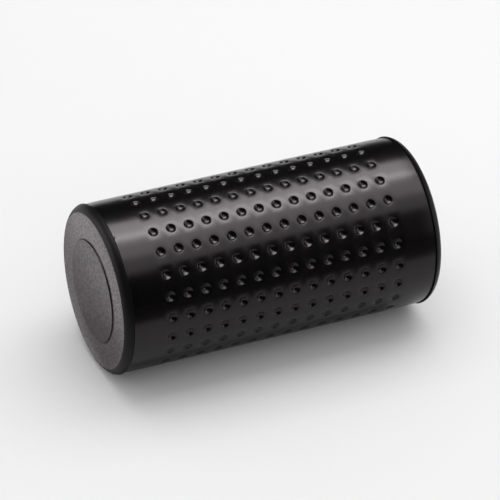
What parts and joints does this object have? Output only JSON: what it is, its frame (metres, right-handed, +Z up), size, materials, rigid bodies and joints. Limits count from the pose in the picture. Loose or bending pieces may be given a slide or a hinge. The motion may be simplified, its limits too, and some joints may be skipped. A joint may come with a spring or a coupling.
{
  "type": "ganza shaker",
  "caption": "Cylindrical hand shaker: a dimpled metal tube closed by moulded end caps, with loose steel shot inside that slides to and fro and sounds when it is shaken.",
  "frame": {"origin": "middle of the tube's axis, halfway between the two end faces", "axes": "+X along the tube towards the right end cap, +Z up as the shaker lies on its side"},
  "size_m": [0.128, 0.0642, 0.0642],
  "materials": {
    "shell_metal": "satin black coat on aluminium",
    "cap_plastic": "black moulded plastic with a fine eroded grain",
    "cap_adhesive": "set black adhesive",
    "shot_steel": "polished steel balls"
  },
  "bodies": {
    "shell": {"shell_tube": "shell_metal", "left_end_cap": "cap_plastic", "right_end_cap": "cap_plastic", "left_cap_bond": "cap_adhesive", "right_cap_bond": "cap_adhesive"},
    "shot_row_1": {"shot_row_1": "shot_steel"},
    "shot_row_2": {"shot_row_2": "shot_steel"},
    "shot_row_3": {"shot_row_3": "shot_steel"},
    "shot_row_4": {"shot_row_4": "shot_steel"},
    "shot_row_5": {"shot_row_5": "shot_steel"},
    "shot_row_6": {"shot_row_6": "shot_steel"},
    "shot_row_7": {"shot_row_7": "shot_steel"}
  },
  "joints": [
    {"name": "shot_row_1_slide", "type": "slide", "parent": "shell", "child": "shot_row_1", "axis": [1, 0, 0], "range_m": [-0.027, 0.027]},
    {"name": "shot_row_2_slide", "type": "slide", "parent": "shell", "child": "shot_row_2", "axis": [1, 0, 0], "range_m": [-0.027, 0.027]},
    {"name": "shot_row_3_slide", "type": "slide", "parent": "shell", "child": "shot_row_3", "axis": [1, 0, 0], "range_m": [-0.027, 0.027]},
    {"name": "shot_row_4_slide", "type": "slide", "parent": "shell", "child": "shot_row_4", "axis": [1, 0, 0], "range_m": [-0.027, 0.027]},
    {"name": "shot_row_5_slide", "type": "slide", "parent": "shell", "child": "shot_row_5", "axis": [1, 0, 0], "range_m": [-0.027, 0.027]},
    {"name": "shot_row_6_slide", "type": "slide", "parent": "shell", "child": "shot_row_6", "axis": [1, 0, 0], "range_m": [-0.027, 0.027]},
    {"name": "shot_row_7_slide", "type": "slide", "parent": "shell", "child": "shot_row_7", "axis": [1, 0, 0], "range_m": [-0.027, 0.027]}
  ]
}
